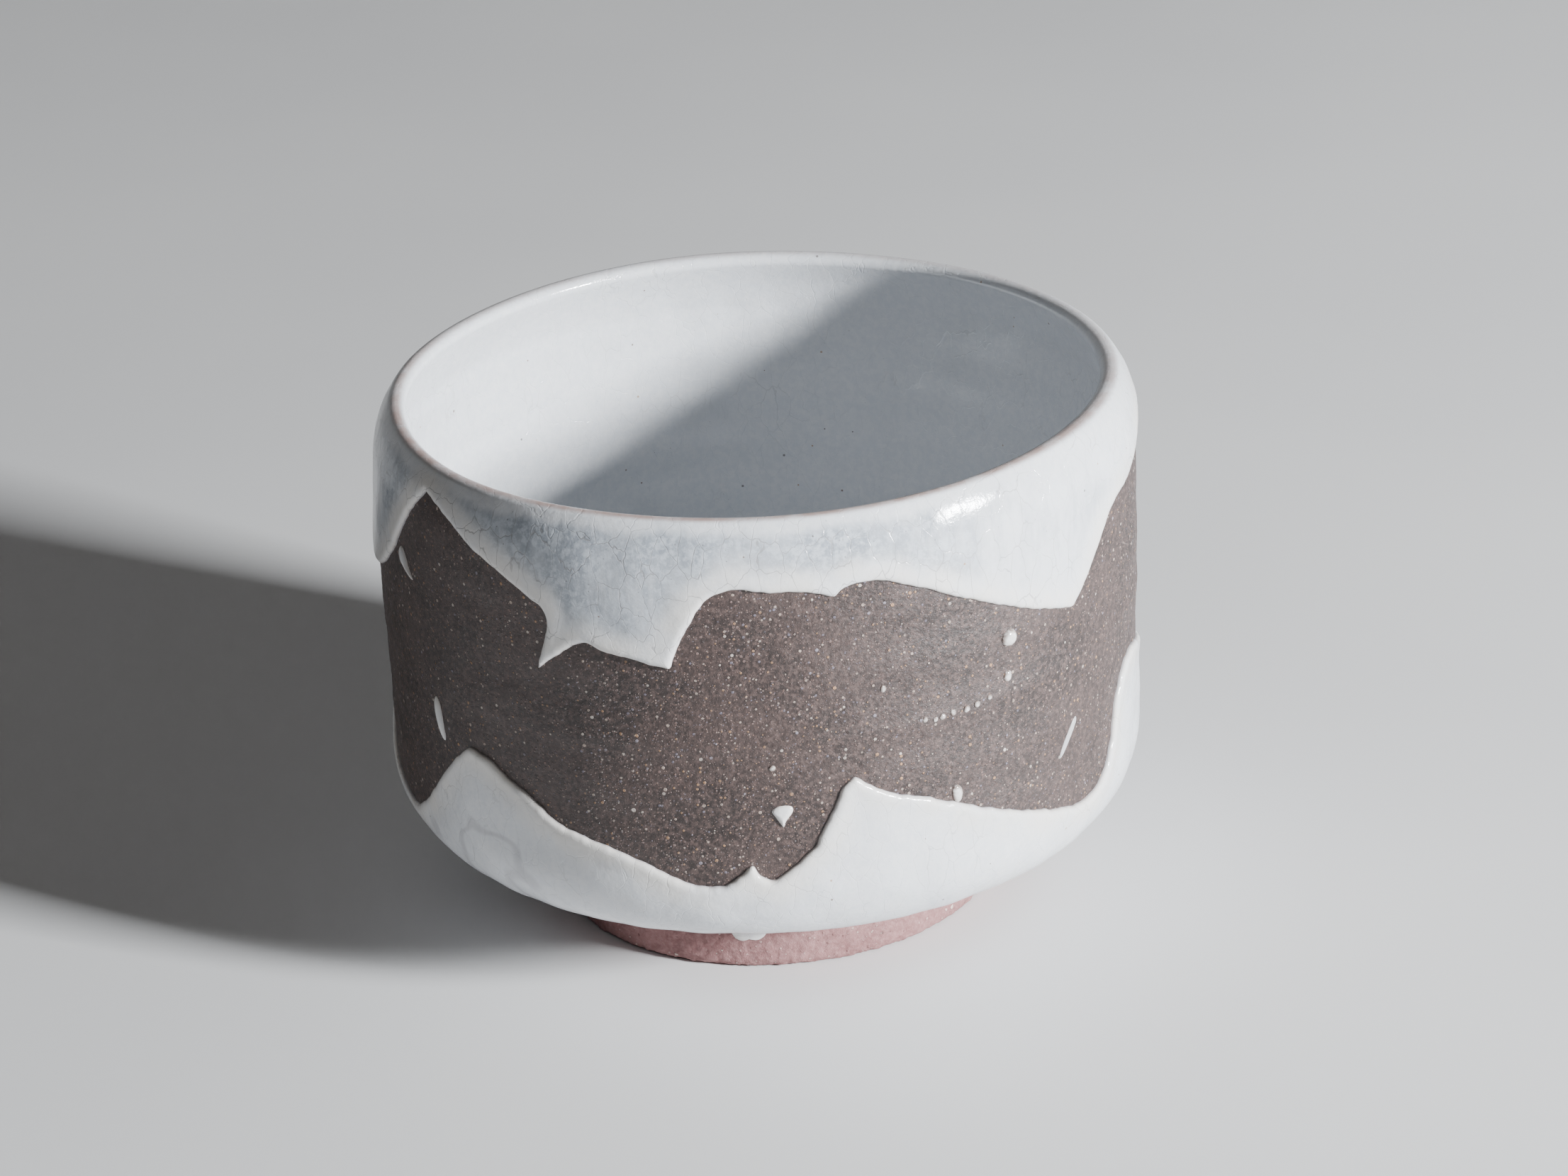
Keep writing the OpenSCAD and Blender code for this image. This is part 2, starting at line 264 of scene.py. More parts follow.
UNDER_POINTS = 30     # points along the straight underside


def outside_profile(depth, stop_r=SLIP_STOP_R):
    """From the underside at stop_r, round the hip, up the wall and the shoulder, to the crown of the lip.
    The distance along it equals the height on the straight wall."""
    hip_foot = polar(hip_c, HIP_R - depth, UNDER - 90)
    foot = line_part(under_point(stop_r, depth), hip_foot, (sin_u, -cos_u), UNDER_POINTS)
    hip = arc_part(hip_c, HIP_R - depth, UNDER - 90, 0, 60)
    wall = line_part((BOWL_R - depth, hip_c[1]), (BOWL_R - depth, shoulder_c[1]), (1, 0), 60)
    shoulder = arc_part(shoulder_c, SHOULDER_R - depth, 0, LIP_TURN, 40)
    lip = arc_part(lip_c, LIP_R - depth, LIP_TURN, 90, 40)
    out = Profile([foot, hip, wall, shoulder, lip])
    on_wall = out.p[:, 0] >= BOWL_R - depth - 1e-6
    wall_foot = int(np.argmin(np.where(on_wall, np.abs(out.p[:, 1] - hip_c[1]), np.inf)))
    out.v += hip_c[1] - out.v[wall_foot]
    return out


def inside_profile(depth):
    """From the crown of the lip down the inside wall to the middle of the floor."""
    wall_in_r = SHOULDER_R - 2 * LIP_R
    foot = polar(shoulder_c, wall_in_r, -WALL_TAPER)
    t, s = math.radians(WALL_TAPER), math.radians(FLOOR_SLOPE)
    to_wall = INSIDE_R - foot[0] * math.cos(t) + foot[1] * math.sin(t)
    to_floor = INSIDE_R - POOL_R * math.sin(s) + FLOOR_Z * math.cos(s)
    centre = ((to_floor * math.sin(t) - to_wall * math.cos(s)) / math.cos(t + s),
              (to_floor * math.cos(t) - to_wall * math.sin(s)) / math.cos(t + s))
    ball = (POOL_R ** 2 + POOL_DEPTH ** 2) / (2 * POOL_DEPTH)
    half = math.degrees(math.asin(POOL_R / ball))
    lip = arc_part(lip_c, LIP_R - depth, 90, 180 + LIP_TURN, 40)
    shoulder = arc_part(shoulder_c, wall_in_r + depth, LIP_TURN, -WALL_TAPER, 40, -1)
    wall_n = -polar((0, 0), 1, -WALL_TAPER)
    hip_top = polar(centre, INSIDE_R + depth, -WALL_TAPER)
    wall = line_part(shoulder[0][-1], hip_top, wall_n, 50)
    hip = arc_part(centre, INSIDE_R + depth, -WALL_TAPER, FLOOR_SLOPE - 90, 60, -1)
    pool = arc_part((0, FLOOR_Z - POOL_DEPTH + ball), ball + depth, half - 90, -90, 30, -1)
    floor = line_part(hip[0][-1], pool[0][0], -polar((0, 0), 1, FLOOR_SLOPE - 90), 20)
    return Profile([lip, shoulder, wall, hip, floor, pool])


OUT = outside_profile(GLAZE)
INN = inside_profile(LINING)
V_CROWN = OUT.v[-1]
V_LIP = V_CROWN - (LIP_R - GLAZE) * math.radians(90 - LIP_TURN) - 0.5
# the unrolled plane has the distance round the wall at radius R0 across it, and the distance along OUT up it
R0 = BOWL_R - GLAZE
ROUND = math.tau * R0
TURN = np.array([ROUND, 0])


def v_of_z(z):
    """Distance along the outside for a height on the hip or above."""
    upper = OUT.v >= 20
    return np.interp(z, OUT.p[upper, 1], OUT.v[upper])


# ---------------------------------------------------------------- hand-thrown unevenness
body_waves = ripples(3, 10, 45, 120)
DENT_AT = 192         # compass angle where the wall is pressed in below the rim
TILT_TOWARDS = 237    # compass angle at which the underside sits highest, by TILT
TILT = 1.05
KEPT_IN = 0.74        # keeps the widest place inside the model's box
RIM_LOW = 0.28        # keeps the highest place inside it


def mid_wall(z):
    """Radius of the middle of the wall."""
    rise = np.clip((z - shoulder_c[1]) / (SHOULDER_R - LIP_R), 0, math.sin(math.radians(LIP_TURN)))
    return shoulder_c[0] + (SHOULDER_R - LIP_R) * np.sqrt(1 - rise ** 2)


def warp(p):
    """Moves points of the ideal bowl to where the thrower's hands left them."""
    x, y, z = p[:, 0], p[:, 1], p[:, 2]
    r = np.hypot(x, y)
    t = np.arctan2(y, x)
    deg = np.degrees(t)
    h = np.clip(z / BOWL_H, 0, 1)
    middle = mid_wall(z)
    on_wall = smooth(8, 26, z) * smooth(30, 50, r)
    lobes = 0.32 * np.cos(t) * h ** 3 + 0.20 * np.cos(2 * t - 0.7) * h ** 2 + 0.13 * np.cos(3 * t + 1.3) * h
    throwing_lines = 0.055 * np.sin(math.tau * z / 9.3 + t) * smooth(26, 34, z) * (1 - smooth(70, 80, z))
    ridge = 0.10 * np.exp(-((z - 50.4 - 0.5 * np.sin(t)) / 0.9) ** 2) * (r > middle)
    waves = 0.10 * body_waves(deg, z)
    off_dent = np.mod(deg - DENT_AT + 180, 360) - 180
    dent = 0.30 * np.exp(-((z - 55) / 10) ** 2) - 0.75 * smooth(62, 78, z)
    dent = dent * np.exp(-(off_dent / 24) ** 2)
    waist = -0.45 * np.cos(t) * np.exp(-((z - 34) / 14) ** 2)
    dr = on_wall * (lobes + throwing_lines + waves + dent + waist + ridge - KEPT_IN)
    inner = smooth(-0.5, 0.5, (middle - r) / (2 * LIP_R))
    dr = dr - round_curve(LIP_SWELL, deg) * inner * smooth(62, 82, z)
    tilt = TILT * np.cos(t - math.radians(TILT_TOWARDS)) * smooth(0.8, 7, z) * (1 - smooth(10, 30, z))
    dz = (round_curve(RIM_RISE, deg) - RIM_LOW) * smooth(35, BOWL_H, z) ** 1.5 + tilt
    f = (r + dr) / np.maximum(r, 1e-6)
    return np.stack([x * f, y * f, z + dz], -1)


def place(profile, degrees, v, t):
    """Points on a profile, at height t off it, as metres in the bowl's frame."""
    p, n = profile.at(v)
    rz = p + n * np.asarray(t, float)[..., None]
    a = np.radians(np.asarray(degrees, float))
    flat = np.stack([rz[..., 0] * np.cos(a), rz[..., 0] * np.sin(a), rz[..., 1]], -1).reshape(-1, 3)
    return warp(flat) * MM


# ---------------------------------------------------------------- meshes
def make_piece(name, points, faces, material, marks=None, sharp=()):
    """A smooth-shaded piece that rides on the bowl and stands for the CAD node of the same name."""
    mesh = bpy.data.meshes.new(name)
    mesh.from_pydata([tuple(p) for p in points], [], [tuple(int(i) for i in f) for f in faces])
    mesh.validate()
    for key, values in (marks or {}).items():
        mesh.attributes.new(key, "FLOAT", "POINT").data.foreach_set("value", np.asarray(values, np.float32))
    mesh.shade_smooth()
    if sharp:
        pairs = np.empty(len(mesh.edges) * 2, np.int64)
        mesh.edges.foreach_get("vertices", pairs)
        pairs = np.sort(pairs.reshape(-1, 2), 1)
        wanted = {tuple(sorted(e)) for e in sharp}
        flags = np.array([tuple(e) in wanted for e in pairs.tolist()])
        mesh.attributes.new("sharp_edge", "BOOLEAN", "EDGE").data.foreach_set("value", flags)
    mesh.materials.append(material)
    piece = bpy.data.objects.new(name + "_visible", mesh)
    bpy.context.collection.objects.link(piece)
    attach(piece, "root")
    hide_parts(name)


def grid_faces(rows, cols, first=0):
    """Quads of a round grid whose rows follow each other along the profile."""
    faces = []
    for j in range(rows - 1):
        a = first + j * cols
        for i in range(cols):
            k = (i + 1) % cols
            faces.append((a + i, a + k, a + cols + k, a + cols + i))
    return faces


def close_skin(faces, count):
    """Adds a back to a skin, with the back's point k + count under point k, and walls along the rim."""
    seen = {(a, b): True for f in faces for a, b in zip(f, f[1:] + f[:1])}
    rim = [(a, b) for (a, b) in seen if (b, a) not in seen]
    back = [tuple(i + count for i in reversed(f)) for f in faces]
    walls = [(b, a, a + count, b + count) for a, b in rim]
    sharp = rim + [(a + count, b + count) for a, b in rim]
    return faces + back + walls, sharp


def neighbours(line):
    """The next and the last point for every point of an edge that closes round the bowl."""
    ahead, behind = np.roll(line, -1, 0), np.roll(line, 1, 0)
    ahead[-1] += TURN
    behind[0] -= TURN
    return ahead, behind


def upwards(line):
    """Unit vectors at right angles to an edge, on its upper side."""
    ahead, behind = neighbours(line)
    along = ahead - behind
    return np.stack([-along[:, 1], along[:, 0]], -1) / np.linalg.norm(along, axis=1)[:, None]


def drawn_edge(points, seed):
    """Dense closed glaze edge in the unrolled plane: a smooth curve through the points with small wobbles."""
    a = np.array([[R0 * math.radians(p[0]), v_of_z(p[1] * BOWL_H / DRAWN_H)] for p in points])
    tip = [p[2] == 1 for p in points]
    n = len(a)
    at = lambda i: a[i % n] + TURN * (i // n)
    size = lambda i: np.linalg.norm(at(i + 1) - at(i))
    way = lambda i: (at(i + 1) - at(i)) / size(i)

    def tangent(i, side):
        if tip[i % n]:
            return way(i + side)
        h0, h1 = size(i - 1), size(i)
        return (way(i - 1) * h1 + way(i) * h0) / (h0 + h1)

    out = []
    for i in range(n):
        h = size(i)
        steps = max(2, math.ceil(h / EDGE_STEP))
        u = (np.arange(steps) / steps)[:, None]
        m0, m1 = tangent(i, 0) * h, tangent(i + 1, -1) * h
        out.append((1 + 2 * u) * (1 - u) ** 2 * at(i) + u * (1 - u) ** 2 * m0
                   + u * u * (3 - 2 * u) * at(i + 1) - u * u * (1 - u) * m1)
    line = np.concatenate(out)
    r = np.random.default_rng(seed)
    s = np.arange(len(line)) / len(line)
    total = len(line) * EDGE_STEP
    wobble = sum(
        0.05 * (length / 3) ** 0.5 * np.cos(math.tau * round(total / length) * s + r.uniform(0, math.tau))
        for length in np.exp(r.uniform(math.log(1.0), math.log(8), 12)))
    line = line + upwards(line) * wobble[:, None] * 0.55
    for _ in range(2):
        ahead, behind = neighbours(line)
        line = line * 0.5 + (ahead + behind) * 0.25
    return line


def edge_distance(q, line):
    """Distance from each point of the plane to a closed edge."""
    reach = 16        # no point lies farther than this from the edge
    seg = np.concatenate([line - TURN, line, line + TURN, line[:1] + 2 * TURN])
    seg = seg[(seg[:, 0] > q[:, 0].min() - reach) & (seg[:, 0] < q[:, 0].max() + reach)]
    a, d = seg[:-1], np.diff(seg, axis=0)
    dd = np.maximum((d ** 2).sum(1), 1e-12)
    out = np.empty(len(q))
    for k in range(0, len(q), BATCH):
        w = q[k:k + BATCH, None, :] - a[None]
        t = np.clip((w * d[None]).sum(2) / dd, 0, 1)
        out[k:k + BATCH] = np.sqrt(((w - t[..., None] * d[None]) ** 2).sum(2).min(1))
    return out


def inside_loop(q, loop):
    """Which points of the plane lie inside a closed loop."""
    a, b = loop, np.roll(loop, -1, 0)
    out = np.zeros(len(q), bool)
    for k in range(0, len(q), BATCH):
        x, y = q[k:k + BATCH, 0:1], q[k:k + BATCH, 1:2]
        cross = (a[None, :, 1] > y) != (b[None, :, 1] > y)
        rise = np.where(b[:, 1] == a[:, 1], 1e-9, b[:, 1] - a[:, 1])
        hit = x < a[None, :, 0] + (y - a[None, :, 1]) * (b[:, 0] - a[:, 0])[None] / rise[None]
        out[k:k + BATCH] = (cross & hit).sum(1) % 2 == 1
    return out


def edge_band(line, v_far, above):
    """Triangles between a ragged glaze edge and the level line v_far, in the unrolled plane.
    Returns the points, the triangles, the indices of the level line's points in order round the bowl, and the
    edge, moved so that it starts at one of those points."""
    first_col = round(math.degrees(line[0, 0] / R0) / (360 / COLS))
    level_u = R0 * np.radians((first_col + np.arange(COLS + 1)) * 360 / COLS)
    shift = level_u[0] - line[0, 0]
    line = line + [shift, 0]
    start, stop = line[0], line[0] + TURN
    inward = 1 if above else -1
    seam = np.array(RINGS + list(np.arange(RINGS[-1] + 0.6, abs(v_far - start[1]) - 0.5, FIELD_STEP)))
    left = np.stack([np.full(len(seam), start[0]), start[1] + inward * seam], -1)
    level = np.stack([level_u, np.full(COLS + 1, float(v_far))], -1)
    loop = np.concatenate([line, [stop], left + TURN, level[::-1], left[::-1]])
    if not above:
        loop = loop[::-1]
    side = upwards(line) * inward
    picks = []
    for k, d in enumerate(RINGS):
        every = 1 if d < 0.5 else 2 if d < 1.2 else 3
        ring = (line + side * d)[k % every::every]
        ring = ring[(ring[:, 0] > start[0] + 0.1) & (ring[:, 0] < stop[0] - 0.1)]
        ring = ring[inside_loop(ring, loop)]
        picks.append(ring[edge_distance(ring, line) > 0.93 * d])
    low, high = loop.min(0), loop.max(0)
    us = np.arange(low[0] + FIELD_STEP / 2, high[0], FIELD_STEP)
    vs = np.arange(low[1], high[1], FIELD_STEP * 0.866)
    gu, gv = np.meshgrid(us, vs)
    gu = gu + (np.arange(len(vs)) % 2 * FIELD_STEP / 2)[:, None]
    field = np.stack([gu.ravel(), gv.ravel()], -1)
    field = field[(field[:, 0] > start[0] + 0.5) & (field[:, 0] < stop[0] - 0.5)]
    field = field[np.abs(field[:, 1] - v_far) > 0.55]
    field = field[inside_loop(field, loop)]
    field = field[edge_distance(field, line) > RINGS[-1] + 0.45]
    points = [Vector(p) for p in np.concatenate([loop] + picks + [field])]
    verts, _, tris, _, _, _ = delaunay_2d_cdt(points, [], [list(range(len(loop)))], 1, 1e-5)
    verts, tris = np.array([tuple(v) for v in verts]), np.array(tris)
    # join the two seams
    touching = 1e-4
    at_left = np.where(np.abs(verts[:, 0] - start[0]) < touching)[0]
    at_right = np.where(np.abs(verts[:, 0] - stop[0]) < touching)[0]
    merge = np.arange(len(verts))
    for r in at_right:
        merge[r] = at_left[np.argmin(np.abs(verts[at_left, 1] - verts[r, 1]))]
    tris = merge[tris]
    used, new = np.unique(tris, return_inverse=True)
    tris = new.reshape(tris.shape)
    verts = verts[used]
    on_level = np.where(np.abs(verts[:, 1] - v_far) < touching)[0]
    on_level = on_level[np.argsort(verts[on_level, 0])]
    return verts, [tuple(int(i) for i in t) for t in tris], on_level, line


def bead_height(d, inner, crest, width=1.05, spread=2.6):
    """Thickness of a glaze coat at distance d from its edge: a rolled bead that settles to the coat."""
    roll = np.sqrt(np.clip(1 - (1 - np.clip(d / width, 0, 1)) ** 2, 0, 1))
    return roll * (inner + (crest - inner) * np.exp(-(d / spread) ** 2))


def crown_coat(degrees):
    """Thickness of the glaze on the crown of the lip."""
    return 0.44 + 0.06 * np.cos(np.radians(np.asarray(degrees, float)) * 3 + 1)


BITE = 0.12           # how far a coat's back lies under the surface that it is fused to
DIP = 0.03            # how far the very edge of a coat or a drop goes under it
BEAD = 0.80           # thickness of the rolled bead along a coat's edge
FAR = 30.0            # mark of a place that no edge, or no crown, is near
flow = ripples(11, 26, 7, 26)
fine_flow = ripples(12, 26, 2.6, 6)


def coat_height(degrees, v, d, inner):
    """Thickness of a poured coat of glaze, with its slow and fine unevenness."""
    settled = smooth(0.2, 3, d)
    uneven = settled * (0.055 * flow(degrees, v) + 0.010 * fine_flow(degrees, v))
    return bead_height(d, inner + uneven, BEAD)


def finish_skin(node, deg, v, t, faces, d, crown, material):
    """Piece of white glaze on the outside; t is its thickness, and d the distance from its edge."""
    top = place(OUT, deg, v, np.where(d < 1e-3, -DIP, t))
    under = place(OUT, deg, v, np.full(len(deg), -BITE))
    faces, sharp = close_skin(faces, len(deg))
    marks = {"edge": np.tile(d, 2), "crown": np.tile(crown, 2), "coat": np.tile(t, 2)}
    make_piece(node, np.concatenate([top, under]), faces, material, marks, sharp)


def upper_glaze(material):
    """From the ragged edge up to the level line V_LIP as triangles, and from there to the crown as a grid."""
    verts, faces, level, line = edge_band(drawn_edge(UPPER_EDGE, 5), V_LIP, True)
    edge_deg = np.degrees(verts[:, 0] / R0)
    edge_d = edge_distance(verts, line)
    rows_v = np.concatenate([np.linspace(V_LIP, V_LIP + 0.5, 3)[1:],
                             np.linspace(V_LIP + 0.5, V_CROWN, 10)[1:]])
    grid_deg = np.tile(edge_deg[level], len(rows_v))
    grid_v = np.repeat(rows_v, COLS)
    ids = np.concatenate([level, np.arange(len(verts), len(verts) + len(grid_deg))])
    faces = faces + [tuple(int(ids[i]) for i in f) for f in grid_faces(len(rows_v) + 1, COLS)]
    deg = np.concatenate([edge_deg, grid_deg])
    v = np.concatenate([verts[:, 1], grid_v])
    d = np.concatenate([edge_d, np.tile(edge_d[level], len(rows_v)) + grid_v - V_LIP])
    near_crown = smooth(V_CROWN - 3.2, V_CROWN, v)
    t = coat_height(deg, v, d, 0.62) * (1 - near_crown) + crown_coat(deg) * near_crown
    finish_skin("upper_glaze", deg, v, t, faces, d, V_CROWN - v, material)


def stop_v(degrees):
    """Distance along the outside at which the lower glaze ends on the underside."""
    a = np.radians(degrees)
    r = GLAZE_STOP_R + GLAZE_WANDER * (np.sin(3 * a + 0.7) + 0.5 * np.sin(7 * a)) / 1.5
    r = r + 0.12 * np.sin(23 * a + 1) + 0.08 * np.sin(41 * a)
    return np.interp(r, OUT.p[:UNDER_POINTS, 0], OUT.v[:UNDER_POINTS])


def lower_glaze(material):
    """From the ragged edge down to a level line as triangles, and from there to the underside as a grid."""
    v_level = 22.0
    verts, faces, level, line = edge_band(drawn_edge(LOWER_EDGE, 6), v_level, False)
    edge_deg = np.degrees(verts[:, 0] / R0)
    edge_d = edge_distance(verts, line)
    cols = edge_deg[level]
    bottom = stop_v(cols)
    ends = np.array(RINGS[::-1] + [0.0])
    share = np.linspace(0, 1, 24)[1:]
    rows = [v_level + (bottom + ends[0] - v_level) * s for s in share] + [bottom + e for e in ends[1:]]
    ids = np.concatenate([level, np.arange(len(verts), len(verts) + COLS * len(rows))])
    # rows run downwards here, so the quads are turned over
    faces = faces + [tuple(int(ids[i]) for i in reversed(f)) for f in grid_faces(len(rows) + 1, COLS)]
    deg = np.concatenate([edge_deg, np.tile(cols, len(rows))])
    v = np.concatenate([verts[:, 1]] + rows)
    from_top = np.concatenate([edge_d] + [edge_d[level] + (v_level - r) for r in rows])
    from_bottom = v - np.concatenate([np.interp(edge_deg, cols, bottom, period=360)] + [bottom] * len(rows))
    d = np.minimum(from_top, from_bottom)
    t = coat_height(deg, v, d, 0.64)
    finish_skin("lower_glaze", deg, v, t, faces, d, np.full(len(t), FAR), material)


def inside_glaze(material):
    v_lip = (LIP_R - LINING) * math.radians(90 + LIP_TURN)
    total = INN.v[-1]
    rows_v = np.concatenate([np.linspace(0, v_lip, 16), np.linspace(v_lip, total - 0.7, 104)[1:]])
    rows = len(rows_v)
    cols = np.arange(COLS) * 360 / COLS
    deg, v = np.tile(cols, rows), np.repeat(rows_v, COLS)
    r = INN.at(v)[0][:, 0]
    t = LINING - (LINING - crown_coat(deg)) * (1 - smooth(0, 3.2, v))
    turn = np.radians(deg) / math.tau
    groove = 0.11 * np.cos(math.tau * (v / 8.2 - turn)) * smooth(0, 8, r)
    # the waves round the bowl crowd together towards the middle of the floor, so they fade out there
    waves = 0.05 * flow(deg, v) * smooth(14, 44, r)
    t = t + smooth(4, 12, v) * (groove + waves)
    t = t - 0.22 * np.exp(-((v - 9.5 - 0.8 * np.sin(turn * math.tau)) / 1.5) ** 2)
    t = t + 0.10 * np.cos(math.tau * (r / 5.2 - turn)) * (1 - smooth(24, 34, r)) * smooth(1, 5, r)
    # the last row closes on a point in the middle of the floor, and so does the back's last row
    middle = lambda height: place(INN, np.array([0.0]), np.array([total]), np.array([height]))
    back_rows = np.concatenate([np.arange(0, 16, 3), np.arange(16, rows - 1, 4), [rows - 1]])
    back_deg, back_v = np.tile(cols, len(back_rows)), np.repeat(rows_v[back_rows], COLS)
    back = place(INN, back_deg, back_v, np.full(len(back_v), -BITE))
    points = np.concatenate([place(INN, deg, v, t), middle(LINING + 0.05), back, middle(-BITE)])
    centre = len(deg)
    first, last = centre + 1, (rows - 1) * COLS
    back_last, back_centre = first + (len(back_rows) - 1) * COLS, first + len(back_rows) * COLS
    ring = [(i, (i + 1) % COLS) for i in range(COLS)]
    faces = grid_faces(rows, COLS) + [(last + i, last + k, centre) for i, k in ring]
    faces += [tuple(reversed(f)) for f in grid_faces(len(back_rows), COLS, first)]
    faces += [(back_last + k, back_last + i, back_centre) for i, k in ring]
    faces += [(k, i, first + i, first + k) for i, k in ring]
    sharp = ring + [(first + i, first + k) for i, k in ring]
    marks = {"edge": np.full(len(points), FAR), "crown": np.concatenate([v, [total], back_v, [total]]),
             "coat": np.concatenate([t, np.full(len(points) - len(t), LINING)])}
    make_piece("inside_glaze", points, faces, material, marks, sharp)


def slip_coat(material):
    rows_v = np.concatenate([np.linspace(OUT.v[0], V_LIP, 108), np.linspace(V_LIP, V_CROWN, 6)[1:]])
    rows = len(rows_v)
    cols = np.arange(COLS) * 360 / COLS
    deg, v = np.tile(cols, rows), np.repeat(rows_v, COLS)
    grain = grain_field(7, rows, COLS, 0.85, ROUND / COLS, 0.9).ravel()
    top = place(OUT, deg, v, 0.028 * np.clip(grain, -2, 2) * smooth(0, 1.5, V_CROWN - v))
    back_rows = np.concatenate([rows_v[:-1:6], rows_v[-1:]])
    back_deg, back_v = np.tile(cols, len(back_rows)), np.repeat(back_rows, COLS)
    back = place(OUT, back_deg, back_v, np.full(len(back_v), -SLIP - 0.04))
    first, last = len(deg), (rows - 1) * COLS
    back_last = first + (len(back_rows) - 1) * COLS
    ring = [(i, (i + 1) % COLS) for i in range(COLS)]
    faces = grid_faces(rows, COLS) + [tuple(reversed(f)) for f in grid_faces(len(back_rows), COLS, first)]
    faces += [(last + k, back_last + k, back_last + i, last + i) for i, k in ring]
    faces += [(first + i, first + k, k, i) for i, k in ring]
    sharp = [(last + i, last + k) for i, k in ring] + ring
    marks = {"crown": V_CROWN - np.concatenate([v, back_v])}
    make_piece("slip_coat", np.concatenate([top, back]), faces, material, marks, sharp)


def revolve(name, material, outline, relief, cols, seed):
    """Closed round solid of bare clay, with sandy relief, from [radius, height, spacing, relief] corners.
    An outline that starts on the axis also ends there."""
    hollow = outline[0][0] > 1e-6
    pts, amount = [], []
    for a, b in zip(outline, outline[1:] + outline[:1] if hollow else outline[1:]):
        corner, way = np.array(a[:2], float), np.subtract(b[:2], a[:2])
        steps = max(1, int(round(np.linalg.norm(way) / a[2])))
        pts += [corner + way * k / steps for k in range(steps)]
        amount += [a[3]] * steps
    if not hollow:
        pts.append(np.array(outline[-1][:2], float))
        amount.append(0)
    p = np.array(pts)
    tangent = np.roll(p, -1, 0) - np.roll(p, 1, 0)
    normal = np.stack([tangent[:, 1], -tangent[:, 0]], -1)
    normal /= np.maximum(np.linalg.norm(normal, axis=1)[:, None], 1e-9)
    body = slice(0, len(p)) if hollow else slice(1, len(p) - 1)
    p_in, n_in, amt = p[body], normal[body], np.array(amount)[body, None]
    deg = np.arange(cols) * 360 / cols
    field = grain_field(seed, len(p_in), cols, 0.4, math.tau * 33 / cols, 0.55)
    lift = np.clip(field, -2.2, 2.2) * amt * relief + turning_marks(p_in, deg) * (amt > 0)
    a = np.radians(deg)[None, :]
    r = p_in[:, 0:1] + n_in[:, 0:1] * lift
    z = np.maximum(p_in[:, 1:2] + n_in[:, 1:2] * lift, 0.0)
    points = warp(np.stack([r * np.cos(a), r * np.sin(a), z + 0 * a], -1).reshape(-1, 3)) * MM
    faces = grid_faces(len(p_in), cols)
    last, n = (len(p_in) - 1) * cols, len(points)
    ring = [(i, (i + 1) % cols) for i in range(cols)]
    if hollow:
        faces += [(last + i, last + k, k, i) for i, k in ring]
    else:
        points = np.concatenate([points, np.array([[0, 0, p[0][1]], [0, 0, p[-1][1]]]) * MM])
        faces += [(k, i, n) for i, k in ring]
        faces += [(last + i, last + k, n + 1) for i, k in ring]
    make_piece(name, points, faces, material)


def turning_marks(p, deg):
    """Fine grooves that the trimming tool leaves around the foot and across the recess."""
    a = np.radians(deg)[None, :] / math.tau
    r, z = p[:, 0:1], p[:, 1:2]
    recess = (1 - smooth(24, 27, r)) * (z < FOOT_H + 0.5)
    spiral = 0.10 * np.cos(math.tau * (r / 2.6 - a)) * smooth(2, 6, r)
    side = 0.05 * np.cos(math.tau * (z / 1.7 - a)) * (1 - recess)
    return recess * spiral + side


def foot_ring(material):
    fine, rough = 0.42, 1.0
    outline = [
        [FOOT_IN_R + FOOT_BEVEL, 0, fine, 0.8], [FOOT_R - FOOT_BEVEL, 0, 0.3, rough],
        [FOOT_R - 0.25, 0.28, 0.3, rough], [FOOT_R, FOOT_BEVEL, fine, rough], [FOOT_TOP_R, FOOT_H, 2.2, 0],
        [RECESS_R, FOOT_H, fine, rough], [FOOT_IN_R, FOOT_BEVEL, 0.3, rough],
    ]
    revolve("foot_ring", material, outline, 0.075, 520, 31)


def clay_wall(material):
    clay_out = outside_profile(coat, FOOT_TOP_R)
    clay_in = inside_profile(LINING)
    under = [[0, FOOT_H - POINT_H, 0.5, 0.5], [POINT_R * 0.35, FOOT_H - POINT_H * 0.8, 0.5, 1.0],
             [POINT_R, FOOT_H, 0.5, 1.0], [RECESS_R, FOOT_H, 3, 0], [FOOT_TOP_R, FOOT_H, 0.4, 1.0],
             [*under_point(SLIP_STOP_R + 0.4, coat), 3, 0]]
    # the rest is hidden by the coats, so it is coarse and smooth
    p, _ = clay_out.at(np.linspace(clay_out.v[0] + 4, clay_out.v[-1] - 0.3, 46))
    q, _ = clay_in.at(np.linspace(0.0, clay_in.v[-1], 50))
    hidden = [[r, z - 0.02, 9, 0] for r, z in p] + [[r, z, 9, 0] for r, z in q]
    revolve("clay_wall", material, under + hidden, 0.06, COLS, 32)


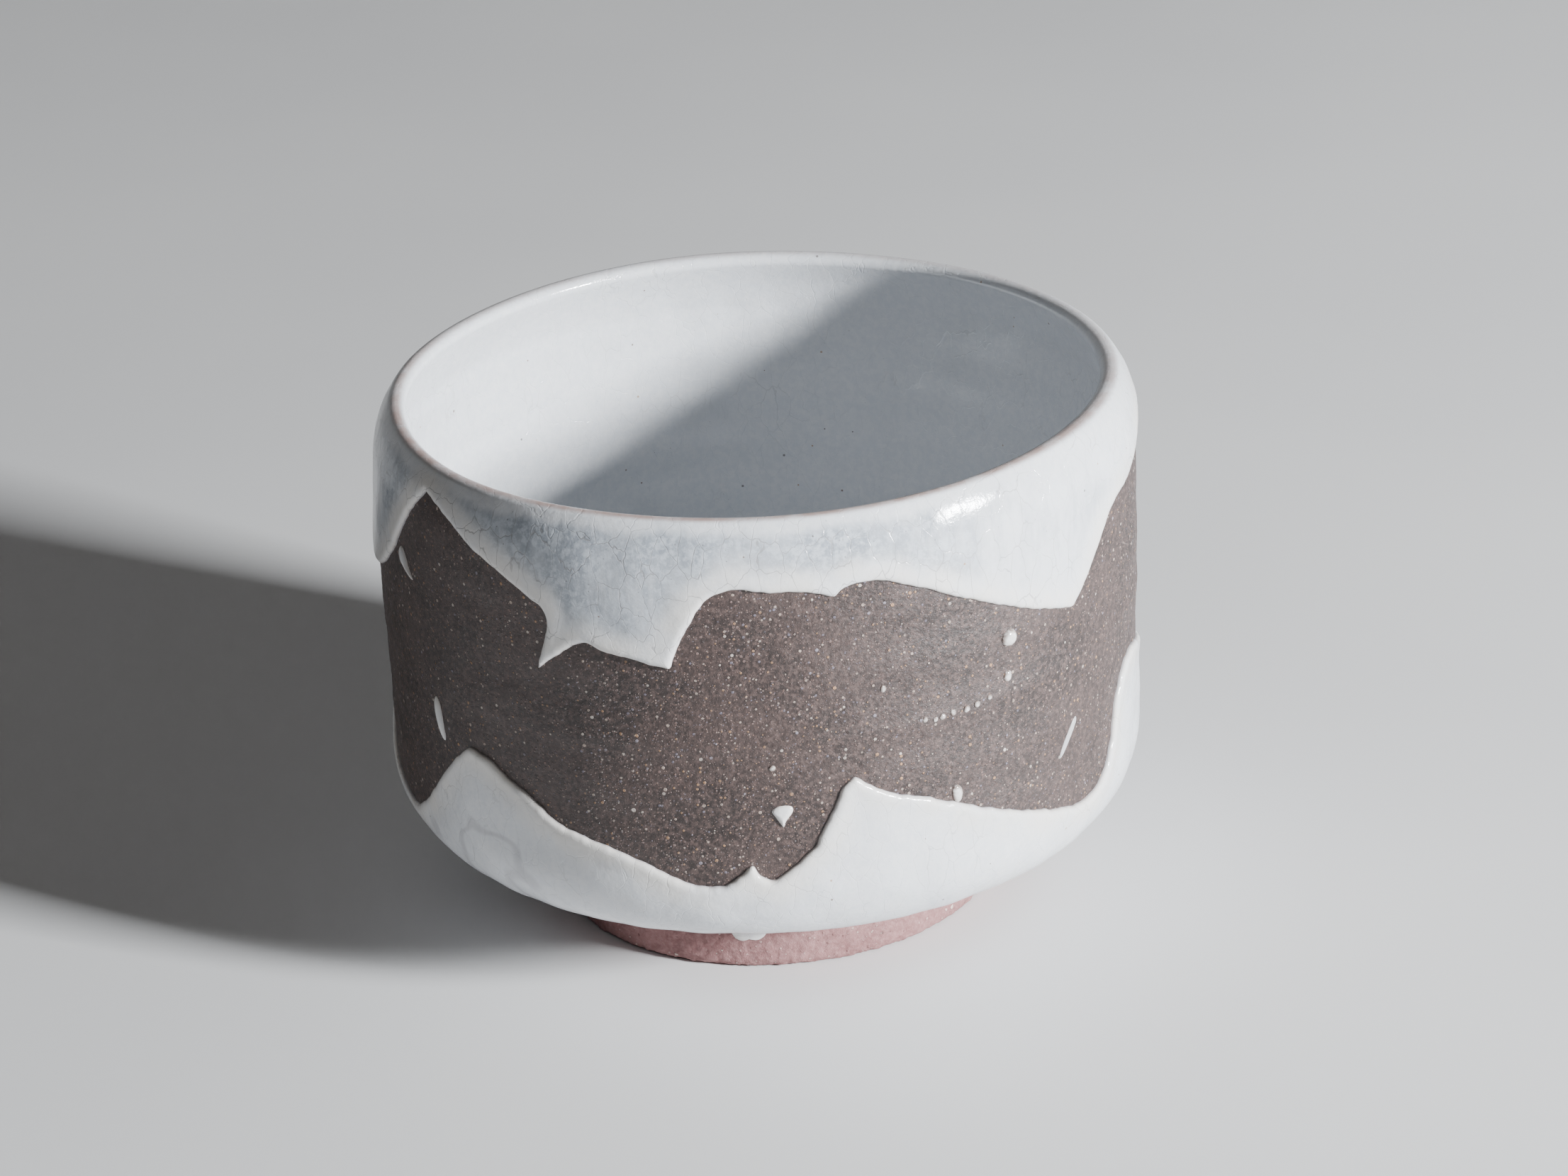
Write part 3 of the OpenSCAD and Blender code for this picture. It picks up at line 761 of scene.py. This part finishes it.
# ---------------------------------------------------------------- drops
def blob(profile, degrees, v, outline, height, rings=9, around=40, power=0.62):
    """Points and faces of a rounded drop whose outline is given as [sideways, up] round its middle."""
    ctrl = np.array(outline, float)
    n = len(ctrl)
    closed = []
    for k in range(around):
        i, u = int(k / around * n), k / around * n % 1
        p0, p1, p2, p3 = (ctrl[(i + j) % n] for j in (-1, 0, 1, 2))
        closed.append(0.5 * (2 * p1 + (p2 - p0) * u + (2 * p0 - 5 * p1 + 4 * p2 - p3) * u ** 2
                             + (3 * p1 - p0 - 3 * p2 + p3) * u ** 3))
    edge = np.array(closed)
    if np.cross(edge, np.roll(edge, -1, 0)).sum() < 0:
        edge = edge[::-1]
    share = np.sin(np.linspace(0, 1, rings + 1)[1:] * math.pi / 2)
    flat = np.concatenate([np.zeros((1, 2))] + [edge * s for s in share])
    rise = height * (1 - share ** 2) ** power
    rise[-1] -= DIP
    lift = np.concatenate([[height], np.repeat(rise, around)])
    deg = degrees + np.degrees(flat[:, 0] / profile.at(v)[0][0])
    top = place(profile, deg, v + flat[:, 1], lift)
    low = place(profile, deg, v + flat[:, 1], np.full(len(flat), -BITE))
    ring = [(i, (i + 1) % around) for i in range(around)]
    faces = [(0, 1 + i, 1 + k) for i, k in ring]
    for a in range(1, 1 + (rings - 1) * around, around):
        faces += [(a + i, a + around + i, a + around + k, a + k) for i, k in ring]
    width = np.linalg.norm(edge, axis=1).mean()
    off = np.concatenate([[width], np.repeat((1 - share) * width, around)])
    return top, low, faces, off


def drops(name, material, items):
    """One piece made of separate drops, each a blob with its mark for the coat's thickness."""
    points, faces, sharp, edge, coats = [], [], [], [], []
    start = 0
    for top, low, skin, off, coat_here in items:
        closed, rim = close_skin(skin, len(top))
        points += [top, low]
        faces += [tuple(i + start for i in q) for q in closed]
        sharp += [(a + start, b + start) for a, b in rim]
        edge += [off, off]
        coats += [np.full(2 * len(top), coat_here)]
        start += 2 * len(top)
    marks = {"edge": np.concatenate(edge), "crown": np.full(start, FAR), "coat": np.concatenate(coats)}
    make_piece(name, np.concatenate(points), faces, material, marks, sharp)


THICK, FILM = 0.6, 0.16    # marks for the coat's thickness on drops


def glaze_splashes(material):
    items = []
    for name, (deg, z, outline) in SPLASHES.items():
        film = name in FILMS
        high = 0.22 if film else min(0.62, 0.3 * np.ptp(np.array(outline)[:, 0]))
        items.append((*blob(OUT, deg, float(v_of_z(z)), outline, high), FILM if film else THICK))
    drops("glaze_splashes", material, items)


def glaze_beads(material):
    items = []
    for deg, z, r, long in BEADS:
        a = np.arange(10) / 10 * math.tau
        out_of_round = 1 + 0.06 * np.cos(2 * a + deg) + 0.04 * np.cos(3 * a + z)
        outline = np.stack([r * np.cos(a) * out_of_round, r * long * np.sin(a) * out_of_round], -1)
        bead = blob(OUT, deg, float(v_of_z(z)), outline, 0.52 * r, rings=8, around=28, power=0.5)
        items.append((*bead, THICK))
    drops("glaze_beads", material, items)


def foot_run(material):
    """A drop on its own profile, which goes up the foot's side and out along the underside."""
    flare = np.array((FOOT_H, FOOT_R - FOOT_TOP_R))
    flare = flare / np.linalg.norm(flare)
    side = line_part((FOOT_R, FOOT_BEVEL), (FOOT_TOP_R, FOOT_H), flare, 20)
    under = line_part((FOOT_TOP_R, FOOT_H), under_point(SLIP_STOP_R, coat), (sin_u, -cos_u), 8)
    foot = Profile([side, under])
    run = blob(foot, RUN_AT, foot.v[19] - 2.2, RUN, 0.34, rings=8, around=44)
    drops("foot_run", material, [(*run, THICK)])


# ---------------------------------------------------------------- materials
class Shader:
    """A node material put together from short expressions; lengths inside it are in millimetres."""

    def __init__(self, name):
        self.mat = bpy.data.materials.new(name)
        self.mat.use_nodes = True
        self.tree = self.mat.node_tree
        self.tree.nodes.clear()
        self.bsdf = self.node("BsdfPrincipled")
        self.put(self.bsdf.outputs[0], self.node("OutputMaterial").inputs[0])
        scale = self.node("VectorMath", "SCALE")
        self.put(self.node("TexCoord").outputs["Object"], scale.inputs[0])
        self.put(1 / MM, scale.inputs["Scale"])
        self.where = scale.outputs[0]

    def node(self, kind, operation=None):
        node = self.tree.nodes.new("ShaderNode" + kind)
        if operation:
            node.operation = operation
        return node

    def put(self, value, socket):
        """Links a value that is a socket, and sets any other."""
        if isinstance(value, bpy.types.NodeSocket):
            self.tree.links.new(value, socket)
        elif isinstance(value, (tuple, list)) and len(value) == 3 and len(socket.default_value) == 4:
            socket.default_value = (*value, 1)
        else:
            socket.default_value = value

    def fill(self, node, **values):
        """Puts values into a node's inputs by their names, with _ for a space."""
        for key, value in values.items():
            self.put(value, node.inputs[key.replace("_", " ")])
        return node

    def mark(self, name):
        """A value that the mesh holds at each point."""
        node = self.node("Attribute")
        node.attribute_name = name
        return node.outputs["Fac"]

    def math(self, op, a, b=0.0, c=0.0):
        node = self.node("Math", op)
        for value, socket in zip((a, b, c), node.inputs):
            self.put(value, socket)
        return node.outputs[0]

    def times(self, first, *others):
        for other in others:
            first = self.math("MULTIPLY", first, other)
        return first

    def plus(self, first, *others):
        for other in others:
            first = self.math("ADD", first, other)
        return first

    def towards(self, azimuth):
        """1 on the wall at a compass angle, falling to -1 on the far side."""
        node = self.node("VectorMath", "DOT_PRODUCT")
        a = math.radians(azimuth)
        self.put(self.where, node.inputs[0])
        self.put((math.cos(a) / BOWL_R, math.sin(a) / BOWL_R, 0), node.inputs[1])
        return node.outputs["Value"]

    def stretch(self, factors):
        return self.fill(self.node("Mapping"), Vector=self.where, Scale=factors).outputs[0]

    def noise(self, size, detail=3.0, rough=0.5, vector=None, warp=0.0):
        return self.fill(self.node("TexNoise"), Vector=vector or self.where, Scale=1 / size, Detail=detail,
                         Roughness=rough, Distortion=warp).outputs["Fac"]

    def cells(self, size, feature="F1", vector=None):
        node = self.node("TexVoronoi")
        node.feature = feature
        return self.fill(node, Vector=vector or self.where, Scale=1 / size)

    def bent(self, size, amount, vector):
        """A place, pushed about by noise so that lines drawn from it wander."""
        noise = self.fill(self.node("TexNoise"), Vector=vector, Scale=1 / size, Detail=2)
        shift = self.node("VectorMath", "MULTIPLY_ADD")
        for value, socket in zip((noise.outputs["Color"], (amount,) * 3, vector), shift.inputs):
            self.put(value, socket)
        return shift.outputs[0]

    def ramp(self, value, a, b, low=0.0, high=1.0):
        """A smooth step from low at a to high at b."""
        node = self.node("MapRange")
        node.interpolation_type = "SMOOTHSTEP"
        return self.fill(node, Value=value, From_Min=a, From_Max=b, To_Min=low, To_Max=high).outputs["Result"]

    def mix(self, share, a, b):
        node = self.node("Mix")
        node.data_type = "RGBA"
        for value, index in ((share, 0), (a, 6), (b, 7)):
            self.put(value, node.inputs[index])
        return node.outputs[2]

    def part(self, colour, index):
        node = self.node("SeparateColor")
        self.put(colour, node.inputs[0])
        return node.outputs[index]

    def palette(self, value, stops):
        """One of a few colours, each from its own stop up to the next."""
        node = self.node("ValToRGB")
        node.color_ramp.interpolation = "CONSTANT"
        self.put(value, node.inputs[0])
        while len(node.color_ramp.elements) < len(stops):
            node.color_ramp.elements.new(0.5)
        for element, (at, colour) in zip(node.color_ramp.elements, stops):
            element.position = at
            element.color = (*colour, 1)
        return node.outputs[0]

    def dots(self, size, share, radius):
        """Soft round dots in a given share of the cells, and a random value for each cell."""
        cell = self.cells(size)
        pick, width, tint = (self.part(cell.outputs["Color"], k) for k in range(3))
        wide = self.ramp(width, 0, 1, radius * 0.45, radius)
        edge = self.math("DIVIDE", cell.outputs["Distance"], wide)
        return self.times(self.ramp(edge, 1.05, 0.8), self.math("LESS_THAN", pick, share)), tint

    def bump(self, height, size, strength=1.0, under=None):
        node = self.fill(self.node("Bump"), Distance=size * MM, Strength=strength, Height=height)
        if under is not None:
            self.put(under, node.inputs["Normal"])
        return node.outputs[0]

    def finish(self, colour, rough, normal, **fixed):
        self.fill(self.bsdf, Base_Color=colour, Roughness=rough, Normal=normal, **fixed)
        return self.mat

def white_glaze_material():
    s = Shader("white glaze")
    edge, crown = s.mark("edge"), s.mark("crown")
    cloud = s.noise(13, 4, 0.55)
    mottle = s.noise(1.3, 4, 0.7)
    lining = s.ramp(edge, 28, 29.5)
    streak = s.noise(1.3, 3, 0.55, s.stretch((1.0, 1.0, 0.16)))
    # the coat is thinner, and greyer, in a band under the rim on the front left; this band is also painted
    # shade, darker on the side turned away from the key light
    thin_band_and_shade = s.times(s.ramp(crown, 0.8, 3.5), s.ramp(crown, 27, 12),
                   s.ramp(s.towards(248), 0.25, 0.85, 0.12, 1.0), s.ramp(lining, 0, 1, 1.0, 0.15))
    # how thin the coat is, together with the painted shade of the front-left band
    thin_and_shade = s.plus(s.times(cloud, 0.62), s.times(streak, 0.26), s.times(mottle, 0.62), s.times(thin_band_and_shade, 0.34),
                  s.times(lining, -0.08))
    thin_and_shade = s.times(s.ramp(thin_and_shade, 0.76, 1.10), s.ramp(edge, 1.8, 4.6))
    white = s.mix(s.ramp(mottle, 0.35, 0.7), (0.70, 0.725, 0.76), (0.77, 0.785, 0.805))
    # grey of a thin coat, which through the front-left band also serves as painted shade
    thin_grey_and_shade = s.mix(s.ramp(mottle, 0.38, 0.62), (0.25, 0.285, 0.335), (0.50, 0.545, 0.60))
    colour = s.mix(s.times(thin_and_shade, 0.85), white, thin_grey_and_shade)
    cream = s.times(s.ramp(edge, 6.0, 0.8), s.ramp(s.noise(6, 3), 0.3, 0.65, 0.25, 1.0))
    colour = s.mix(s.times(cream, 0.70), colour, (0.79, 0.755, 0.70))
    hem = s.ramp(edge, 0.42, 0.05)
    colour = s.mix(s.times(hem, 0.22), colour, (0.50, 0.38, 0.31))
    # where the coat is no more than a film, the slip shows through it
    film = s.ramp(s.mark("coat"), 0.34, 0.12)
    colour = s.mix(s.times(film, 0.6), colour, (0.27, 0.26, 0.29))
    # loops where a second pour of the lower coat ran over the first
    loops = s.math("ABSOLUTE", s.math("SUBTRACT", s.noise(17, 2, 0.4, warp=0.3), 0.5))
    loops = s.times(s.ramp(loops, 0.035, 0.004), s.ramp(s.towards(222), 0.55, 0.95),
                    s.ramp(crown, 29, 29.9), s.ramp(edge, 1.5, 4), s.math("SUBTRACT", 1.0, lining))
    colour = s.mix(s.times(loops, 0.55), colour, (0.47, 0.47, 0.50))
    # crackle
    cracks = s.cells(3.3, "DISTANCE_TO_EDGE", s.bent(2.2, 1.7, s.stretch((1.0, 1.0, 0.6))))
    line = s.ramp(cracks.outputs["Distance"], 0.020, 0.005)
    patchy = s.ramp(s.plus(s.noise(8, 2), s.times(thin_band_and_shade, 0.20)), 0.46, 0.72, 0.03, 0.75)
    patchy = s.times(patchy, s.ramp(lining, 0, 1, 1.0, 0.45), s.ramp(crown, 24, 34, 0.8, 0.3))
    colour = s.mix(s.times(line, patchy), colour, (0.31, 0.30, 0.30))
    # iron specks and pinholes
    brown, tint = s.dots(2.4, 0.20, 0.10)
    colour = s.mix(s.times(brown, 0.75), colour, s.palette(tint, [
        (0.0, (0.16, 0.09, 0.06)), (0.4, (0.42, 0.27, 0.16)), (0.8, (0.12, 0.10, 0.09))]))
    fine, _ = s.dots(0.8, 0.30, 0.16)
    colour = s.mix(s.times(fine, s.ramp(thin_and_shade, 0, 1, 0.16, 0.7)), colour, (0.19, 0.19, 0.20))
    # the clay's warmth where the coat is drawn thin over the crown of the lip
    worn = s.times(s.ramp(crown, 0.7, 0.15), s.ramp(s.noise(6, 4, 0.6), 0.3, 0.6, 0.35, 0.9),
                   s.ramp(s.towards(255), -0.5, 0.5, 0.35, 1.0))
    colour = s.mix(worn, colour, (0.40, 0.27, 0.235))
    holes, _ = s.dots(2.0, 0.16, 0.10)
    skin = s.bump(s.noise(1.2, 4, 0.6), 0.11, 0.55)
    pits = s.plus(s.times(line, 0.4), holes)
    normal = s.bump(s.math("SUBTRACT", 1.0, pits), 0.12, 0.4, skin)
    rough = s.plus(s.ramp(s.noise(4, 3), 0.3, 0.7, 0.13, 0.21), s.times(worn, 0.2))
    return s.finish(colour, rough, normal, IOR=1.52)


def iron_slip_material():
    s = Shader("iron slip")
    colour = s.mix(s.ramp(s.noise(14, 4, 0.6), 0.35, 0.65), (0.020, 0.0125, 0.011), (0.046, 0.030, 0.027))
    colour = s.mix(s.ramp(s.noise(0.8, 4, 0.75), 0.4, 0.7), colour, (0.11, 0.072, 0.064))
    height = s.noise(0.6, 4, 0.7)
    crowd = s.ramp(s.noise(7, 3, 0.6), 0.3, 0.7, 0.55, 1.0)
    # size of the cells, share of them that hold a grain, its radius in cells, strength, and colours
    grains = [
        (0.40, 0.68, 0.36, 0.80, [(0.0, (0.13, 0.085, 0.080)), (0.3, (0.25, 0.15, 0.12)),
                                 (0.55, (0.16, 0.13, 0.155)), (0.72, (0.34, 0.25, 0.22)),
                                 (0.90, (0.055, 0.035, 0.032))]),
        (0.66, 0.52, 0.35, 0.85, [(0.0, (0.22, 0.145, 0.13)), (0.35, (0.38, 0.22, 0.12)),
                                 (0.55, (0.44, 0.36, 0.31)), (0.75, (0.20, 0.18, 0.23)),
                                 (0.9, (0.045, 0.030, 0.027))]),
        (1.15, 0.34, 0.26, 0.85, [(0.0, (0.48, 0.38, 0.32)), (0.35, (0.46, 0.26, 0.14)),
                                 (0.6, (0.60, 0.53, 0.47)), (0.85, (0.30, 0.27, 0.32))]),
        (2.6, 0.16, 0.14, 0.9, [(0.0, (0.56, 0.47, 0.40)), (0.5, (0.68, 0.61, 0.55))]),
    ]
    for size, share, radius, strength, tints in grains:
        dot, tint = s.dots(size, share, radius)
        shown = s.times(dot, strength, crowd)
        colour = s.mix(shown, colour, s.palette(tint, tints))
        height = s.plus(height, s.times(dot, 0.55))
    glassy, _ = s.dots(0.9, 0.3, 0.36)
    rough = s.math("SUBTRACT", s.ramp(s.noise(3, 3), 0.3, 0.7, 0.40, 0.50), s.times(glassy, 0.26))
    return s.finish(colour, rough, s.bump(height, 0.14, 1.0), IOR=1.6)


def bare_clay_material():
    s = Shader("bare clay")
    colour = s.mix(s.ramp(s.noise(9, 4, 0.6), 0.3, 0.7), (0.235, 0.115, 0.112), (0.315, 0.165, 0.160))
    colour = s.mix(s.ramp(s.noise(0.7, 4, 0.7), 0.38, 0.72, 0, 0.6), colour, (0.41, 0.245, 0.238))
    height = s.noise(0.5, 5, 0.7)
    for size, share, radius, strength, tints in [
            (0.75, 0.35, 0.34, 0.55, [(0.0, (0.58, 0.41, 0.38)), (0.5, (0.19, 0.095, 0.085)),
                                     (0.8, (0.72, 0.60, 0.54))]),
            (1.9, 0.22, 0.26, 0.7, [(0.0, (0.76, 0.64, 0.57)), (0.45, (0.16, 0.095, 0.085)),
                                   (0.7, (0.52, 0.28, 0.17))])]:
        dot, tint = s.dots(size, share, radius)
        colour = s.mix(s.times(dot, strength), colour, s.palette(tint, tints))
        height = s.plus(height, s.times(dot, 0.8))
    rough = s.ramp(s.noise(1.5, 3), 0.3, 0.7, 0.78, 0.92)
    return s.finish(colour, rough, s.bump(height, 0.2, 1.0), IOR=1.45)


def clear_glaze_material():
    s = Shader("clear glaze")
    # the pale middle of each clear drop, and the pale flecks on it, are painted highlight and glints; the rim
    # is darker where the glaze is thin over the slip
    colour = s.mix(s.ramp(s.mark("edge"), 0.0, 0.7), (0.20, 0.15, 0.13), (0.66, 0.63, 0.61))
    colour = s.mix(s.ramp(s.noise(0.6, 3), 0.4, 0.7, 0, 0.6), colour, (0.82, 0.80, 0.78))
    return s.finish(colour, s.ramp(s.noise(1.2, 2), 0.3, 0.7, 0.05, 0.09), s.bump(s.noise(0.5, 2), 0.02, 0.3),
                    IOR=1.5)


white, clay = white_glaze_material(), bare_clay_material()
clay_wall(clay)
foot_ring(clay)
slip_coat(iron_slip_material())
inside_glaze(white)
upper_glaze(white)
lower_glaze(white)
glaze_splashes(white)
glaze_beads(clear_glaze_material())
foot_run(white)

# ---------------------------------------------------------------- studio
def studio_material():
    s = Shader("paper sweep")
    tone = s.mix(s.ramp(s.noise(140, 2), 0.3, 0.7), (0.76, 0.76, 0.765), (0.80, 0.80, 0.80))
    return s.finish(tone, s.ramp(s.noise(3, 2), 0.3, 0.7, 0.75, 0.85), s.bump(s.noise(1.2, 3), 0.03, 0.3))


def sweep():
    """Pale paper that lies flat under the bowl and curves up behind it."""
    path = [(-1.6, 0.0)] + [(1.3 + 0.7 * math.sin(a), 0.7 - 0.7 * math.cos(a))
                            for a in np.linspace(0, math.pi / 2, 24)] + [(2.0, 2.6)]
    rows = [[(x, y, z - 0.0002) for x in (-3.0, -1.0, 1.0, 3.0)] for y, z in path]
    faces = [(4 * j + i, 4 * j + i + 1, 4 * j + i + 5, 4 * j + i + 4)
             for j in range(len(rows) - 1) for i in range(3)]
    mesh = bpy.data.meshes.new("sweep")
    mesh.from_pydata([p for row in rows for p in row], [], faces)
    mesh.shade_smooth()
    mesh.materials.append(studio_material())
    paper = bpy.data.objects.new("sweep", mesh)
    bpy.context.collection.objects.link(paper)
    return paper


def softbox(name, azimuth, elevation, distance, size, power, colour):
    """A square light that looks at the middle of the bowl, from angles in degrees and lengths in metres."""
    a, e = math.radians(azimuth), math.radians(elevation)
    aim = Vector((0, 0, 0.045))
    spot = aim + distance * Vector((math.cos(a) * math.cos(e), math.sin(a) * math.cos(e), math.sin(e)))
    lamp = bpy.data.lights.new(name, "AREA")
    lamp.shape = "RECTANGLE"
    lamp.size, lamp.size_y = size
    lamp.energy = power
    lamp.color = colour
    light = bpy.data.objects.new(name, lamp)
    light.location = spot
    light.rotation_euler = (aim - spot).to_track_quat("-Z", "Y").to_euler()
    bpy.context.collection.objects.link(light)
    return light


world = bpy.data.worlds.new("soft room")
world.use_nodes = True
world.node_tree.nodes["Background"].inputs[0].default_value = (1.0, 0.95, 0.91, 1)
world.node_tree.nodes["Background"].inputs[1].default_value = 0.035
bpy.context.scene.world = world
sweep()
softbox("key", 329, 17, 1.25, (0.16, 0.18), 58, (0.95, 0.975, 1.0))
softbox("overhead", 240, 66, 1.7, (1.5, 1.5), 1.35, (1.0, 0.95, 0.90))

lens = bpy.data.cameras.new("camera")
lens.lens = 45.0
lens.sensor_width = 17.3
lens.clip_start = 0.01
camera = bpy.data.objects.new("camera", lens)
ahead = Vector((0.0054, 0.9103, -0.4140)).normalized()
up = Vector((0.0613, 0.4129, 0.9087))
right = ahead.cross(up).normalized()
up = right.cross(ahead)
camera.matrix_world = (Matrix.Translation((0, -0.5834, 0.3134))
                       @ Matrix((right, up, -ahead)).transposed().to_4x4())
bpy.context.collection.objects.link(camera)
bpy.context.scene.camera = camera
